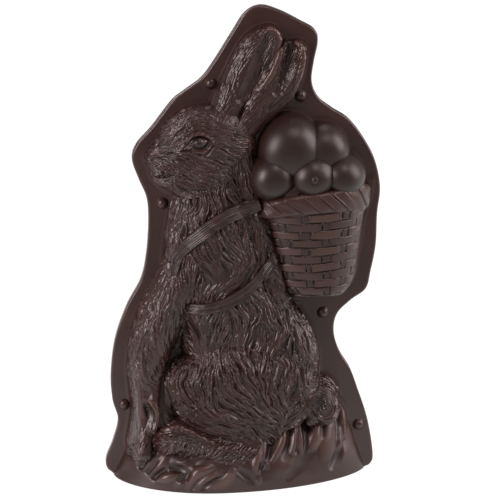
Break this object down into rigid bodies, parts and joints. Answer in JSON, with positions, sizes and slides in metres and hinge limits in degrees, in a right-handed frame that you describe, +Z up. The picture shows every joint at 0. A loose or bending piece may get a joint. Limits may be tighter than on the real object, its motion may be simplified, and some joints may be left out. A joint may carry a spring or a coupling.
{
  "type": "chocolate bunny in half relief",
  "caption": "Chocolate bunny cast in half relief, seen from the side with a basket of eggs on its back, on a flat flanged plate with a half-round foot so that it stands upright.",
  "frame": {"origin": "middle of the bounding box, at the underside that it stands on", "axes": "+Z up to the tip of the flange, +Y from the figure's front to its flat back, +X to the right as the relief is looked at, with the rabbit's nose towards -X"},
  "size_m": [0.1619, 0.0444, 0.28],
  "materials": {
    "chocolate": "satin dark chocolate, a little shinier on the eggs and on worn high fur"
  },
  "bodies": {
    "root": {"chocolate_bunny": "chocolate"}
  },
  "joints": []
}
